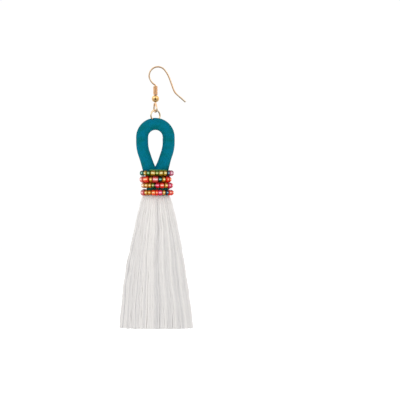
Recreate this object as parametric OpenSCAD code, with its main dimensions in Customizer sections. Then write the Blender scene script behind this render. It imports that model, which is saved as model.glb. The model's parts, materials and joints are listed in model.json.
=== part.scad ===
// Drop earring with a thread tassel, held by its ear wire, in millimetres.
// The origin is on the inside of the hook's bend, straight above the tassel, where it hangs.
// X runs across the earring, Y away from the viewer and Z up.

/* [Ear wire] */
// Diameter of the ear wire
wire_d = 0.7; // [0.55:0.05:0.85]
// Radius of the hook's round bend, to the middle of the wire
hook_r = 3.5; // [3:0.1:5]
// Lean of the wire where it leaves the coil
hook_lean = 58; // [45:1:60]
// Radius of the gentle bend between the coil and the round bend, to the middle of the wire
front_r = 5; // [4:0.1:8]
// Straight stretch of wire behind the ear
back_run = 4.8; // [3:0.1:7]
// Turn that bends the tail away from the drop
tail_turn = 29; // [20:1:50]
// Straight tail at the end of the wire
tail_l = 4.6; // [4:0.1:8]
// Length of the eye under the ball, to the middle of its wire
eye_l = 3.7; // [3.2:0.1:5]
// Radius of the eye, to the middle of its wire
eye_r = 1.1; // [0.9:0.05:1.4]

/* [Coil and ball] */
// Diameter over the coil
coil_d = 1.8; // [1.5:0.1:2.4]
// Length of the coil
coil_l = 3.6; // [2:0.1:5]
// Diameter of the wire that the coil is wound from
coil_wire_d = 0.3; // [0.2:0.05:0.5]
// Diameter of the ball
ball_d = 3; // [2:0.1:4]

/* [Jump ring] */
// Outer diameter of the jump ring
ring_d = 5; // [4.4:0.1:7]
// Diameter of the jump ring's wire
ring_wire_d = 0.7; // [0.5:0.05:0.85]
// Width of the cut where the ring is closed
ring_split = 0.15; // [0.05:0.05:0.4]
// Turn of the ring about the vertical, away from the front
ring_turn = 35; // [0:1:60]
// Depth of the ring's lowest point under the top of the loop
ring_bury = 1.55; // [1.3:0.05:2]
// Angle that the drop nods each way on the ring
nod_angle = 25; // [10:1:30]

/* [Loop] */
// Diameter of the thread-wrapped cord
cord_d = 4.9; // [3.8:0.1:5.8]
// Radius of the loop's round top, to the middle of the cord
loop_r = 5.3; // [4.5:0.1:8]
// Straight stretch at the loop's widest place
side_run = 2; // [0:0.5:6]
// Radius of the bend that brings each side in
side_r = 14; // [8:1:25]
// Angle of the two legs to the vertical
leg_angle = 18.4; // [14:0.1:20]
// Length of the loop from its top to the neck
loop_l = 20.85; // [19:0.05:28]

/* [Neck and beads] */
// Usual width over a row of beads, of which each row has its own share
row_w = 13; // [11:0.1:16]
// Thickness of the thread bound around the two legs
binding_t = 0.1; // [0.05:0.05:0.5]
// Diameter of a bead
bead_d = 2.2; // [1.8:0.1:2.7]
// Length of a bead along its thread
bead_l = 1.65; // [1.3:0.05:2]
// Diameter of the thread that joins the beads of a row
bead_thread_d = 0.8; // [0.4:0.1:1]

/* [Skirt] */
// Length of the skirt of threads
skirt_l = 53.2; // [35:0.1:80]
// Width of the skirt at its cut end
skirt_w = 29.1; // [20:0.1:40]
// Depth of the skirt at its cut end
skirt_t = 16; // [10:0.5:30]
// How far the skirt hangs to the right of the loop's middle
skirt_shift = 0.3; // [-1:0.1:1]
// Depth of the flutes between the locks of thread at the cut end
flute_t = 0.35; // [0.1:0.05:0.8]
// Number of locks of thread around the skirt
locks = 18; // [10:1:24]

/* [Fits] */
// Running gap between the eye and the jump ring
link_gap = 0.05; // [0.03:0.01:0.1]
// Gap around the ring where it passes through the loop
slot_gap = 0.07; // [0.05:0.01:0.2]
// Gap between pieces that lie against each other
seat_gap = 0.05; // [0.03:0.01:0.1]

/* [Hidden] */
$fn = 48;

// Radii of the round pieces
wire_r = wire_d / 2;
ring_wire_r = ring_wire_d / 2;
cord_r = cord_d / 2;
bead_r = bead_d / 2;
ball_r = ball_d / 2;
hole_r = wire_r + seat_gap;

// The wire bends out of the coil on a small radius, and opens from the round bend into the back run
collar_r = 0.5;
front_turn = 38;
shoulder_r = 11;
shoulder_turn = 20;
tail_bend_r = 4.9;
// The wire's tip is broken by a small chamfer
tip_chamfer = 0.12;
// The round bend ends where the wire slopes down behind the ear at this angle to the horizontal
bend_end = 50;
// Each bend of wire or cord swells by this much where it meets the next, so that they are one piece
joint_swell = 0.01;

// Middle of the hook's round bend, measured from the drop's axis and from the top of the coil
bend_start = hook_lean - front_turn;
bend_x = (collar_r + front_r) * cos(hook_lean) - collar_r - (front_r - hook_r) * cos(bend_start);
bend_up = (collar_r + front_r) * sin(hook_lean) - (front_r - hook_r) * sin(bend_start);
// The inside of the bend passes through the origin, which gives the height of everything under it
coil_top = -sqrt(pow(hook_r - wire_r, 2) - pow(bend_x, 2)) - bend_up;
coil_end = coil_top - coil_l;
// Half the height of the ball between the two rims of its hole
ball_rim = sqrt(pow(ball_r, 2) - pow(hole_r, 2));
ball_z = coil_end - seat_gap - ball_rim;

// The eye hangs from a fork of the wire just under the ball
fork_drop = 0.15;
fork_z = ball_z - ball_rim - fork_drop;
eye_z = fork_z - eye_l;
eye_fan = asin(eye_r / (eye_l - eye_r));
eye_leg = sqrt(pow(eye_l - eye_r, 2) - pow(eye_r, 2));

// The ring hangs on the eye's lowest wire
ring_r = ring_d / 2 - ring_wire_r;
ring_top = eye_z + wire_r + ring_wire_r + link_gap;
ring_z = ring_top - ring_r;
// The cut in the ring is this far round from its top
split_at = 35;
split_angle = ring_split / ring_r * 180 / PI;

// Room in the loop for the ring, whose sides come down a little as the drop nods
slot_clear = ring_wire_r + slot_gap;
slot_room = 0.1;

// The loop, from its top down to the cut on the neck
loop_top = ring_z - ring_r - ring_wire_r + ring_bury;
loop_arc_z = loop_top - cord_r - loop_r;
loop_end = loop_top - loop_l;
leg_x = loop_r - side_r * (1 - cos(leg_angle));
leg_z = loop_arc_z - side_run - side_r * sin(leg_angle);
leg_run = (leg_z - loop_end) / cos(leg_angle) + cord_r;

// The rows of beads: the gap above each row and its lie to the right, as shares of a bead, and its width
// as a share of row_w
GAP = 0;
WIDTH = 1;
SHIFT = 2;
rows = [
    [0.07, 1.07, 0.23],
    [0.14, 0.985, 0.1],
    [0.09, 1.005, 0.32],
    [0.27, 1.04, 0.38]
];
// The gap under the last row, as a share of a bead
foot_gap = 0.07;
neck_top = loop_end - seat_gap;
neck_t = cord_d + 2 * binding_t;
function row_depth(i) = i == 0 ? bead_d * rows[0][GAP] + bead_r
    : row_depth(i - 1) + bead_d * (1 + rows[i][GAP]);
function row_z(i) = neck_top - row_depth(i);
function row_x(i) = bead_d * rows[i][SHIFT];
function band_w(i) = row_w * rows[i][WIDTH] - 2 * bead_d - 2 * seat_gap;
last_row = len(rows) - 1;
neck_end = row_z(last_row) - bead_r - bead_d * foot_gap;

// Beads stand a little off each other along the thread
bead_gap = 0.06;
// The string starts and ends just behind the neck's sides, as shares of a turn from its leftmost place
string_start = -0.05;
string_end = 0.62;
// Behind the neck the string falls to the next row, and slides sideways to that row's lie
fall_from = 0.5;
fall_to = 1;
slide_from = 0.58;
slide_to = 0.92;

// The skirt's sections: the way down, the width and the depth as shares of its length, width and depth
DOWN = 0;
WIDE = 1;
DEEP = 2;
skirt_top = neck_end - seat_gap;
skirt_sections = [
    [0, 0.34, 0.32],
    [0.015, 0.375, 0.355],
    [0.07, 0.455, 0.44],
    [0.13, 0.52, 0.51],
    [0.2, 0.577, 0.57],
    [0.35, 0.689, 0.68],
    [0.53, 0.798, 0.79],
    [0.7, 0.886, 0.88],
    [0.86, 0.952, 0.95],
    [0.985, 0.998, 0.998],
    [1, 0.985, 0.98]
];
skirt_sides = 4 * locks;

// A run of wire or cord of diameter d in the XZ plane, starting at the origin and heading up.
// Each step is [length, 0] where it is straight or [radius, turn] where it bends, left turns positive.
SIZE = 0;
TURN = 1;
module path_step(step, d) {
    turn = step[TURN];
    if (turn == 0) cylinder(h = step[SIZE], d = d);
    else {
        side = turn > 0 ? -step[SIZE] : step[SIZE];
        first = turn > 0 ? 0 : 180 + turn;
        translate([side, 0, 0]) rotate([90, 0, 0]) rotate([0, 0, first])
            rotate_extrude(angle = abs(turn)) translate([step[SIZE], 0]) circle(d = d);
    }
}

module path(steps, d, i = 0) {
    if (i < len(steps)) {
        step = steps[i];
        side = step[TURN] > 0 ? -step[SIZE] : step[SIZE];
        path_step(step, d);
        if (i > 0) sphere(d = d + 2 * joint_swell);
        if (step[TURN] == 0) translate([0, 0, step[SIZE]]) path(steps, d, i + 1);
        else translate([side, 0, 0]) rotate([0, -step[TURN], 0]) translate([-side, 0, 0])
            path(steps, d, i + 1);
    }
}

// Moves what is drawn at the end of a run of wire or cord to that end
module path_end(steps, i = 0) {
    if (i < len(steps)) {
        step = steps[i];
        side = step[TURN] > 0 ? -step[SIZE] : step[SIZE];
        if (step[TURN] == 0) translate([0, 0, step[SIZE]]) path_end(steps, i + 1) children();
        else translate([side, 0, 0]) rotate([0, -step[TURN], 0]) translate([-side, 0, 0])
            path_end(steps, i + 1) children();
    } else children();
}

// The ear wire, from the top of the coil to the foot of the tail
hook_steps = [
    [collar_r, hook_lean],
    [front_r, -front_turn],
    [hook_r, -(90 + bend_start + bend_end)],
    [shoulder_r, -shoulder_turn],
    [back_run, 0],
    [tail_bend_r, tail_turn]
];

// The straight tail, a true round pin with a broken edge at its tip
module tail() {
    rotate_extrude() polygon([
        [0, 0],
        [wire_r, 0],
        [wire_r, tail_l - tip_chamfer],
        [wire_r - tip_chamfer, tail_l],
        [0, tail_l]
    ]);
    sphere(d = wire_d + 2 * joint_swell);
}

// The eye bent in the wire's lower end, which stands across the jump ring
module eye() {
    translate([0, 0, fork_z]) rotate([0, 0, ring_turn + 90]) {
        sphere(d = wire_d + 2 * joint_swell);
        rotate([0, 180 + eye_fan, 0]) path([[eye_leg, 0], [eye_r, 180 + 2 * eye_fan], [eye_leg, 0]], wire_d);
    }
}

module ear_hook() {
    color("goldenrod") {
        translate([0, 0, coil_top]) {
            sphere(d = wire_d + 2 * joint_swell);
            path(hook_steps, wire_d);
            path_end(hook_steps) tail();
        }
        translate([0, 0, fork_z]) cylinder(h = coil_top - fork_z, d = wire_d);
        eye();
    }
}

// The close-wound coil on the ear wire, as a sleeve with a ridge for each turn
module hook_coil() {
    turns = floor(coil_l / coil_wire_d);
    pitch = coil_l / turns;
    middle_r = (coil_d - coil_wire_d) / 2;
    color("goldenrod") translate([0, 0, coil_end]) rotate_extrude() {
        translate([hole_r, 0]) square([middle_r - hole_r, coil_l]);
        for (i = [0 : turns - 1]) translate([middle_r, (i + 0.5) * pitch])
            circle(d = coil_wire_d * 0.98);
    }
}

// The bored ball that stops the coil
module hook_ball() {
    color("goldenrod") translate([0, 0, ball_z]) difference() {
        sphere(d = ball_d);
        cylinder(h = ball_d + 1, r = hole_r, center = true);
    }
}

module jump_ring() {
    color("gold") translate([0, 0, ring_z]) rotate([0, 0, ring_turn]) rotate([90, 0, 0])
        rotate([0, 0, 90 - split_at + split_angle / 2])
            rotate_extrude(angle = 360 - split_angle) translate([ring_r, 0]) circle(d = ring_wire_d);
}

// The way through the loop that the ring needs at rest and over the whole nod
module ring_slot() {
    foot = slot_clear / sin(nod_angle);
    top = ring_r;
    half_w = (top + foot) * tan(nod_angle);
    translate([0, 0, ring_z]) rotate([0, 0, ring_turn]) intersection() {
        rotate([90, 0, 0]) difference() {
            cylinder(h = 2 * cord_d, r = ring_r + slot_clear + slot_room, center = true);
            cylinder(h = 3 * cord_d, r = ring_r - slot_clear, center = true);
        }
        translate([0, 0, -ring_r]) rotate([90, 0, 90])
            linear_extrude(height = 2 * ring_d, center = true)
                polygon([[0, -foot], [half_w, top], [-half_w, top]]);
    }
}

// The wrapped cord: up one leg, over the top and down the other, cut level on the neck
module cord_loop() {
    steps = [
        [leg_run, 0],
        [side_r, leg_angle],
        [side_run, 0],
        [loop_r, 180],
        [side_run, 0],
        [side_r, leg_angle],
        [leg_run, 0]
    ];
    color("teal") difference() {
        translate([leg_x - leg_run * sin(leg_angle), 0, leg_z - leg_run * cos(leg_angle)])
            rotate([0, leg_angle, 0]) path(steps, cord_d);
        translate([-2 * loop_r, -cord_d, loop_end - 2 * cord_d]) cube([4 * loop_r, 2 * cord_d, 2 * cord_d]);
        ring_slot();
    }
}

// A flat shape with round ends, w wide and t deep
module oval(w, t) {
    square([w - t, t], center = true);
    for (side = [-1, 1]) translate([side * (w - t) / 2, 0]) circle(d = t);
}

// The binding around the two legs, a little wider or narrower behind each row of beads
module neck_binding() {
    color("darkslategray") for (i = [0 : last_row]) {
        band_top = i == 0 ? neck_top : (row_z(i - 1) + row_z(i)) / 2;
        band_end = i == last_row ? neck_end : (row_z(i) + row_z(i + 1)) / 2;
        translate([row_x(i), 0, band_end]) linear_extrude(height = band_top - band_end)
            oval(band_w(i), neck_t);
    }
}

// The place at a length s along an oval of half run a and end radius r, from the middle of its front
function oval_place(s, a, r) =
    s < a ? [s, -r]
    : s < a + PI * r ? let (turn = (s - a) / r * 180 / PI) [a + r * sin(turn), -r * cos(turn)]
    : s < 3 * a + PI * r ? [2 * a + PI * r - s, r]
    : s < 3 * a + 2 * PI * r ? let (turn = (s - 3 * a - PI * r) / r * 180 / PI)
        [-a - r * sin(turn), r * cos(turn)]
    : [s - 4 * a - 2 * PI * r, -r];

// The string of beads winds round the neck. It crosses the front level, and falls to the next row behind.
string_r = neck_t / 2 + seat_gap + bead_r;
function half_run(i) = (band_w(i) - neck_t) / 2;
function around(a) = 4 * a + 2 * PI * string_r;
function between(a, b, share) = a + (b - a) * share;
function ease(at, from, to) = let (u = min(max((at - from) / (to - from), 0), 1)) u * u * (3 - 2 * u);

// Where the string is, a share of a turn after the leftmost place of row i
function string_place(i, turn) =
    turn < 0 && i > 0 ? string_place(i - 1, turn + 1)
    : let (
        next = min(i + 1, last_row),
        slid = ease(turn, slide_from, slide_to),
        fallen = ease(turn, fall_from, fall_to),
        a = between(half_run(i), half_run(next), slid),
        from_front = turn * around(a) - a - PI * string_r / 2,
        place = oval_place(from_front < 0 ? from_front + around(a) : from_front, a, string_r)
    )
    [
        between(row_x(i), row_x(next), slid) + place.x,
        place.y,
        between(row_z(i), row_z(next), fallen)
    ];

// Lays what is drawn along Z from one place towards another
module toward(from, to) {
    way = to - from;
    translate(from) rotate([0, acos(way.z / norm(way)), atan2(way.y, way.x)]) children();
}

// One row, from the middle of the back round to the middle of the back, joined by thread between beads
module bead_row(i) {
    first = i == 0 ? string_start : -0.25;
    last = i == last_row ? string_end : 0.75;
    count = floor((last - first) * around(half_run(i)) / (bead_l + bead_gap));
    step = (last - first) / count;
    for (k = [0 : count - 1]) {
        turn = first + (k + 0.5) * step;
        place = string_place(i, turn);
        toward(place, string_place(i, turn + 0.01)) rotate_extrude() intersection() {
            circle(d = bead_d);
            translate([0, -bead_l / 2]) square([bead_d, bead_l]);
        }
        if (k > 0) {
            before = string_place(i, turn - step);
            toward(before, place) translate([0, 0, bead_l / 4])
                cylinder(h = norm(place - before) - bead_l / 2, d = bead_thread_d);
        }
    }
}

// One section of the skirt, with a shallow flute between locks that deepens on the way down
function skirt_ring(section) = [
    for (i = [0 : skirt_sides - 1])
        let (
            turn = i * 360 / skirt_sides,
            flute = flute_t * section[DOWN] * (1 - cos(turn * locks)) / 2
        )
        [
            skirt_shift + (section[WIDE] * skirt_w / 2 - flute) * cos(turn),
            (section[DEEP] * skirt_t / 2 - flute) * sin(turn),
            skirt_top - section[DOWN] * skirt_l
        ]
];

module tassel_skirt() {
    last = len(skirt_sections) - 1;
    points = [for (section = skirt_sections) each skirt_ring(section)];
    sides = [
        for (row = [0 : last - 1], i = [0 : skirt_sides - 1])
            let (next = (i + 1) % skirt_sides, upper = row * skirt_sides, lower = upper + skirt_sides)
            [upper + i, upper + next, lower + next, lower + i]
    ];
    top = [for (i = [0 : skirt_sides - 1]) skirt_sides - 1 - i];
    cut_end = [for (i = [0 : skirt_sides - 1]) last * skirt_sides + i];
    color("ivory") polyhedron(points, concat([top], sides, [cut_end]), convexity = 4);
}

ear_hook();
hook_coil();
hook_ball();
jump_ring();
cord_loop();
neck_binding();
color("mediumseagreen") bead_row(0);  // bead_row_1
color("coral") bead_row(1);  // bead_row_2
color("khaki") bead_row(2);  // bead_row_3
color("hotpink") bead_row(3);  // bead_row_4
tassel_skirt();
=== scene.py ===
# A tassel drop earring: an ear wire with its coil and ball, a jump ring, a loop of cord wound with
# teal thread, a bound neck with one string of glass beads wound four times round it, and a skirt of
# cotton threads. Sizes are real ones in millimetres, and MM turns them into the frame's metres.
import json
import math

import bmesh
import bpy
import numpy as np
from mathutils import Matrix, Vector


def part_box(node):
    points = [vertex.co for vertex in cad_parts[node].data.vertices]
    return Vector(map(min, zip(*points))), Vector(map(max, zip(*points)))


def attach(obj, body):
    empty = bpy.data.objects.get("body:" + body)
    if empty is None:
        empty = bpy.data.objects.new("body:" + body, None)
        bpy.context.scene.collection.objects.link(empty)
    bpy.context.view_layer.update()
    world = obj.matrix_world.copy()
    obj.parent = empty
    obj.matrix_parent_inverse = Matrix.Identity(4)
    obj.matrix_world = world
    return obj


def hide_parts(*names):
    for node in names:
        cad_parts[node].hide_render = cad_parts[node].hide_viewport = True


MM = 0.001
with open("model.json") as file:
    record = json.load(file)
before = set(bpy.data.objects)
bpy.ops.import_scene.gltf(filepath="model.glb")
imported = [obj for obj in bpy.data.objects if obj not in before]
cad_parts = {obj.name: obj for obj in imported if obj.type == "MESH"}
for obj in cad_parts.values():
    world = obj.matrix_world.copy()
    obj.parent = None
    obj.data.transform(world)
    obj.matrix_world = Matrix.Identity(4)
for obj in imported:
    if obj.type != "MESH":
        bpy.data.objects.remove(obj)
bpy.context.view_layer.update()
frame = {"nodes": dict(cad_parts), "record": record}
joints = {joint["name"]: joint for joint in frame["record"]["behaviour"]["joints"]}


# Ear wire
# One length of 0.7 mm brass wire, gold plated after it was bent round a former to sit in the ear.
# It runs down through the coil and the ball, and ends in an eye closed round the jump ring.
wire_d = 0.7 * MM
wire_sides = 16
bend_step_degrees = 7
# From the top of the coil to the foot of the tail: straight runs, and bends with their turns
hook_steps = [(0.5, 58), (5, -38), (3.5, -160), (11, -20), (4.8, 0), (4.9, 29), (4.6, 0)]
eye_r = 1.1 * MM
eye_height = 3.7 * MM
eye_shoulder_r = 0.7 * MM
# The eye's free end lies nearly one wire beside the stem and a little lower
free_end_beside = 0.98
free_end_under = 0.25 * MM
# How far the rims of the two cut ends are rounded
eye_end_rim = 0.06 * MM
tail_end_rim = 0.2 * MM

up = Vector((0, 0, 1))
across_eye = Vector(joints["drop_swing"]["axis"])
eye_foot = Vector(joints["drop_swing"]["pos_m"])
coil_low, coil_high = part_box("hook_coil")


def linear(hex_colour):
    """The linear colour of an sRGB hex value."""
    shares = [int(hex_colour[i:i + 2], 16) / 255 for i in (1, 3, 5)]
    return [s / 12.92 if s < 0.04045 else ((s + 0.055) / 1.055) ** 2.4 for s in shares] + [1]


def surface(name, colour, **sockets):
    """A material of one Principled shader, with its constants on the shader's own sockets."""
    made = bpy.data.materials.new(name)
    made.use_nodes = True
    shader = made.node_tree.nodes["Principled BSDF"]
    shader.inputs["Base Color"].default_value = linear(colour)
    for socket, value in sockets.items():
        shader.inputs[socket.replace("_", " ")].default_value = value
    return made, shader


def put(tree, kind, inputs, **settings):
    """Adds a node. Each input takes a value, or the output of another node."""
    made = tree.nodes.new(kind)
    for setting, value in settings.items():
        setattr(made, setting, value)
    for socket, value in inputs.items():
        if isinstance(value, bpy.types.NodeSocket):
            tree.links.new(value, made.inputs[socket])
        else:
            made.inputs[socket].default_value = value
    return made


def draw_on(bm, end, at, way, axis, steps):
    """Draws the open end of a wire on through straight runs and bends about an axis."""
    for size, turn in steps:
        if turn == 0:
            run = bmesh.ops.spin(bm, geom=end, cent=at, axis=axis, dvec=way * size, angle=0, steps=1)
            end = run["geom_last"]
            at = at + way * size
            continue
        centre = at + axis.cross(way) * math.copysign(size, turn)
        angle = math.radians(turn)
        steps_round = max(3, round(abs(turn) / bend_step_degrees))
        run = bmesh.ops.spin(bm, geom=end, cent=centre, axis=axis, angle=angle, steps=steps_round)
        end = run["geom_last"]
        turned = Matrix.Rotation(angle, 3, axis)
        at = centre + turned @ (at - centre)
        way = turned @ way
    return end, at, way


def wire_end(bm, at, way, radius, sides):
    """The round outline from which a wire is drawn."""
    made = bmesh.ops.create_circle(bm, segments=sides, radius=radius)["verts"]
    facing = way.to_track_quat("Z", "Y").to_matrix().to_4x4()
    bmesh.ops.transform(bm, verts=made, matrix=Matrix.Translation(at) @ facing)
    return made + bm.edges[:]


def close_end(bm, end, rounding):
    """Closes an end of wire with a flat face whose rim is rounded a little."""
    rim = [part for part in end if isinstance(part, bmesh.types.BMEdge)]
    bmesh.ops.edgeloop_fill(bm, edges=rim)
    bmesh.ops.bevel(bm, geom=rim, offset=rounding, segments=3, profile=0.5, affect="EDGES", material=-1)


def smooth_object(name, bm, *materials):
    """Makes an object with smooth shading from its bmesh."""
    mesh = bpy.data.meshes.new(name)
    bm.to_mesh(mesh)
    bm.free()
    for material in materials:
        mesh.materials.append(material)
    mesh.shade_smooth()
    made = bpy.data.objects.new(name, mesh)
    bpy.context.scene.collection.objects.link(made)
    return made


def finished(name, bm, *materials):
    """Makes an object whose faces all point outwards."""
    bmesh.ops.recalc_face_normals(bm, faces=bm.faces)
    return smooth_object(name, bm, *materials)


# Levels of a cloudy pattern where the plate is kept and worn, and its roughness there as shares
kept_level = 0.35
worn_level = 0.65
kept_roughness = 0.85
worn_roughness = 1.3


def gold_plate(name, colour, worn_colour, roughness, patch):
    """Gold plate on polished brass: a warm mirror, paler and duller in the patches that are worn."""
    made, shader = surface(name, colour, Metallic=1, Roughness=roughness)
    tree = made.node_tree
    place = put(tree, "ShaderNodeTexCoord", {}).outputs["Object"]
    cloud = put(tree, "ShaderNodeTexNoise", {"Vector": place, "Scale": 1 / patch, "Detail": 3})
    dull = put(tree, "ShaderNodeMapRange", {
        "Value": cloud.outputs["Fac"], "From Min": kept_level, "From Max": worn_level,
        "To Min": roughness * kept_roughness, "To Max": roughness * worn_roughness,
    })
    tree.links.new(dull.outputs["Result"], shader.inputs["Roughness"])
    tint = put(tree, "ShaderNodeValToRGB", {"Fac": cloud.outputs["Fac"]})
    kept, worn = tint.color_ramp.elements
    kept.position = kept_level
    kept.color = linear(colour)
    worn.position = worn_level
    worn.color = linear(worn_colour)
    tree.links.new(tint.outputs["Color"], shader.inputs["Base Color"])
    return made


# The drawn wire shows as a pale rosy gold, worn to a paler straw in places
wire_gold = gold_plate("gold_plated_wire", "#EAB988", "#EAD6BC", 0.28, 3 * MM)

# The eye is a tear shape: two legs that run from its fork to touch a circle
eye_centre = eye_foot + up * eye_r
fork = eye_foot + up * eye_height
free_end = fork + across_eye * wire_d * free_end_beside - up * free_end_under
to_free = free_end - eye_centre
free_lean = math.atan2(to_free.dot(across_eye), to_free.dot(up))
free_open = math.acos(eye_r / to_free.length)
stem_open = math.acos(eye_r / (fork - eye_centre).length)
eye_turn = 2 * math.pi - stem_open - free_lean - free_open
free_leg = math.sqrt(to_free.length ** 2 - eye_r ** 2)
stem_leg = math.sqrt((fork - eye_centre).length ** 2 - eye_r ** 2)
touch = free_lean + free_open
touch_at = eye_centre + (across_eye * math.sin(touch) + up * math.cos(touch)) * eye_r
eye_axis = across_eye.cross(up)
down_leg = (touch_at - free_end).normalized()
neck_turn = math.pi / 2 - stem_open
shoulder = eye_shoulder_r * math.tan(neck_turn / 2)
if down_leg.cross(eye_centre - free_end).dot(eye_axis) < 0:
    eye_axis = -eye_axis

hook = bmesh.new()
end = wire_end(hook, free_end, down_leg, wire_d / 2, wire_sides)
start = list(end)
eye_steps = [
    (free_leg, 0), (eye_r, math.degrees(eye_turn)),
    (stem_leg - shoulder, 0), (eye_shoulder_r, -math.degrees(neck_turn)),
]
end, at, way = draw_on(hook, end, free_end, down_leg, eye_axis, eye_steps)
end, at, way = draw_on(hook, end, at, way, eye_axis, [(coil_high.z - at.z, 0)])
to_viewer = Vector((0, -1, 0))
hook_run = [(size * MM, turn) for size, turn in hook_steps]
end, at, way = draw_on(hook, end, at, way, to_viewer, hook_run)
close_end(hook, start, eye_end_rim)
close_end(hook, end, tail_end_rim)
ear_wire = finished("ear_wire_bent", hook, wire_gold)
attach(ear_wire, "ear_wire")
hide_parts("ear_hook")


# Coil
# Eleven close turns of fine wire wound round the ear wire, plated with it. They hold the ball down
# and stiffen the straight part of the hook.
coil_wire_d = 0.3 * MM
coil_wire_sides = 10
coil_end_rim = 0.05 * MM
coil_turns = 11
steps_a_turn = 28

coil_r = (coil_high.x - coil_low.x) / 2 - coil_wire_d / 2
coil_rise = (coil_high.z - coil_low.z - coil_wire_d) / coil_turns
coil = bmesh.new()
coil_start = Vector((coil_r, 0, coil_low.z + coil_wire_d / 2))
end = wire_end(coil, coil_start, Vector((0, 1, 0)), coil_wire_d / 2, coil_wire_sides)
start = list(end)
end = bmesh.ops.spin(
    coil, geom=end, cent=(0, 0, 0), axis=(0, 0, 1), angle=coil_turns * 2 * math.pi,
    steps=coil_turns * steps_a_turn, dvec=up * coil_rise / steps_a_turn,
)["geom_last"]
close_end(coil, start, coil_end_rim)
close_end(coil, end, coil_end_rim)
coil_gold = gold_plate("gold_plated_coil", "#FBD3A4", "#F8CB9C", 0.5, 1.5 * MM)
hook_coil = finished("coil_of_fine_wire", coil, coil_gold)
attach(hook_coil, "ear_wire")
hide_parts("hook_coil")


# Ball
# A brass ball, drilled through, plated and mirror polished. Its bore has a small rounded mouth at
# each end.
bore_r = 0.4 * MM
mouth_r = 0.08 * MM
ball_steps_high = 30
ball_steps_round = 48
# Points of a spun mesh that lie nearer than this are one
merge_within = 0.002 * MM

ball_low, ball_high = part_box("hook_ball")
ball_centre = (ball_low + ball_high) / 2
ball_r = (ball_high.x - ball_low.x) / 2
ball = bmesh.new()
rim = math.sqrt(ball_r ** 2 - bore_r ** 2)
bottom = ball.verts.new(ball_centre + Vector((bore_r, 0, -rim)))
arc = bmesh.ops.spin(
    ball, geom=[bottom], cent=ball_centre, axis=(0, -1, 0), angle=2 * math.atan2(rim, bore_r),
    steps=ball_steps_high,
)["geom_last"]
top = next(part for part in arc if isinstance(part, bmesh.types.BMVert))
ball.edges.new((top, bottom))
bmesh.ops.bevel(
    ball, geom=[top, bottom], offset=mouth_r, segments=3, profile=0.5, affect="VERTICES", material=-1
)
bmesh.ops.spin(
    ball, geom=ball.verts[:] + ball.edges[:], cent=ball_centre, axis=(0, 0, 1), angle=2 * math.pi,
    steps=ball_steps_round, use_merge=True,
)
bmesh.ops.remove_doubles(ball, verts=ball.verts, dist=merge_within)
ball_gold = gold_plate("gold_plated_ball", "#F3BE74", "#F2CA90", 0.08, 1.5 * MM)
hook_ball = finished("drilled_ball", ball, ball_gold)
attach(hook_ball, "ear_wire")
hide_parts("hook_ball")


# Jump ring
# A ring of plated wire, cut from a coil, opened sideways to take the eye and the loop, and pressed
# shut. The cut shows at its upper right.
ring_wire_d = 0.7 * MM
ring_cut = 0.15 * MM
# The cut stands so many degrees from the ring's top
cut_from_top = 35
ring_steps = 72
ring_end_rim = 0.06 * MM

ring_low, ring_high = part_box("jump_ring")
ring_centre = (ring_low + ring_high) / 2
ring_r = (ring_high.z - ring_low.z) / 2 - ring_wire_d / 2
ring_side = Vector(joints["drop_nod"]["axis"])
ring_axis = ring_side.cross(up)
cut_angle = ring_cut / ring_r
ring = bmesh.new()
first = math.radians(90 - cut_from_top) + cut_angle / 2
start_at = ring_centre + (ring_side * math.cos(first) + up * math.sin(first)) * ring_r
end = wire_end(ring, start_at, ring_axis.cross(start_at - ring_centre), ring_wire_d / 2, wire_sides)
start = list(end)
end = bmesh.ops.spin(
    ring, geom=end, cent=ring_centre, axis=ring_axis, angle=2 * math.pi - cut_angle,
    steps=ring_steps,
)["geom_last"]
close_end(ring, start, ring_end_rim)
close_end(ring, end, ring_end_rim)
ring_gold = gold_plate("gold_plated_ring", "#EACB9C", "#EADBC2", 0.15, 1.5 * MM)
jump_ring = finished("split_ring", ring, ring_gold)
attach(jump_ring, "ring")
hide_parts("jump_ring")


# Loop
# A thick soft cord bent into a loop and wound edge to edge with teal embroidery thread, which
# hides the cord. The jump ring passes through its top, where the turns part round the metal.
thread_pitch = 0.5 * MM
thread_t = 0.3 * MM
thread_sides = 6
sections_a_turn = 30
# The turns press into each other, and bends squeeze or spread them between two shares
turn_overlap = 1.3
turn_squeeze = (0.4, 2)
# The core under the thread is smaller by this share of the thread's thickness
core_inset = 0.62
# The way of the cord, from the cut end of its right leg, over the top and down the left
side_run = 2 * MM
side_r = 14 * MM
leg_angle = 18.4
leg_lean = math.radians(leg_angle)
route_spacing = 0.05 * MM
# The core's lowest stretch is drawn down into the binding
leg_tuck = 0.35 * MM
leg_end = 0.5 * MM
# The binding presses the right and the left leg this much wider at its edge, over a short run
legs_pressed = (0.42 * MM, 0.25 * MM)
press_run = 4 * MM
# Half widths of the opening in the thread where the ring goes in, in the ring's plane and across it.
# The thread makes way out to so many half widths
opening_beside = 0.62 * MM
opening_along = 0.75 * MM
opening_spread = 1.9
opening_heart = 0.02
# Lower in the cord the opening is longer, by this share of the way that the ring sweeps there
opening_sweep = 0.6
nod_angle = math.radians(joints["drop_nod"]["range_deg"][1])

loop_low, loop_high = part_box("cord_loop")
cord_r = (loop_high.y - loop_low.y) / 2
loop_r = (loop_high.x - loop_low.x) / 2 - cord_r
loop_centre_z = loop_high.z - cord_r - loop_r


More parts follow.
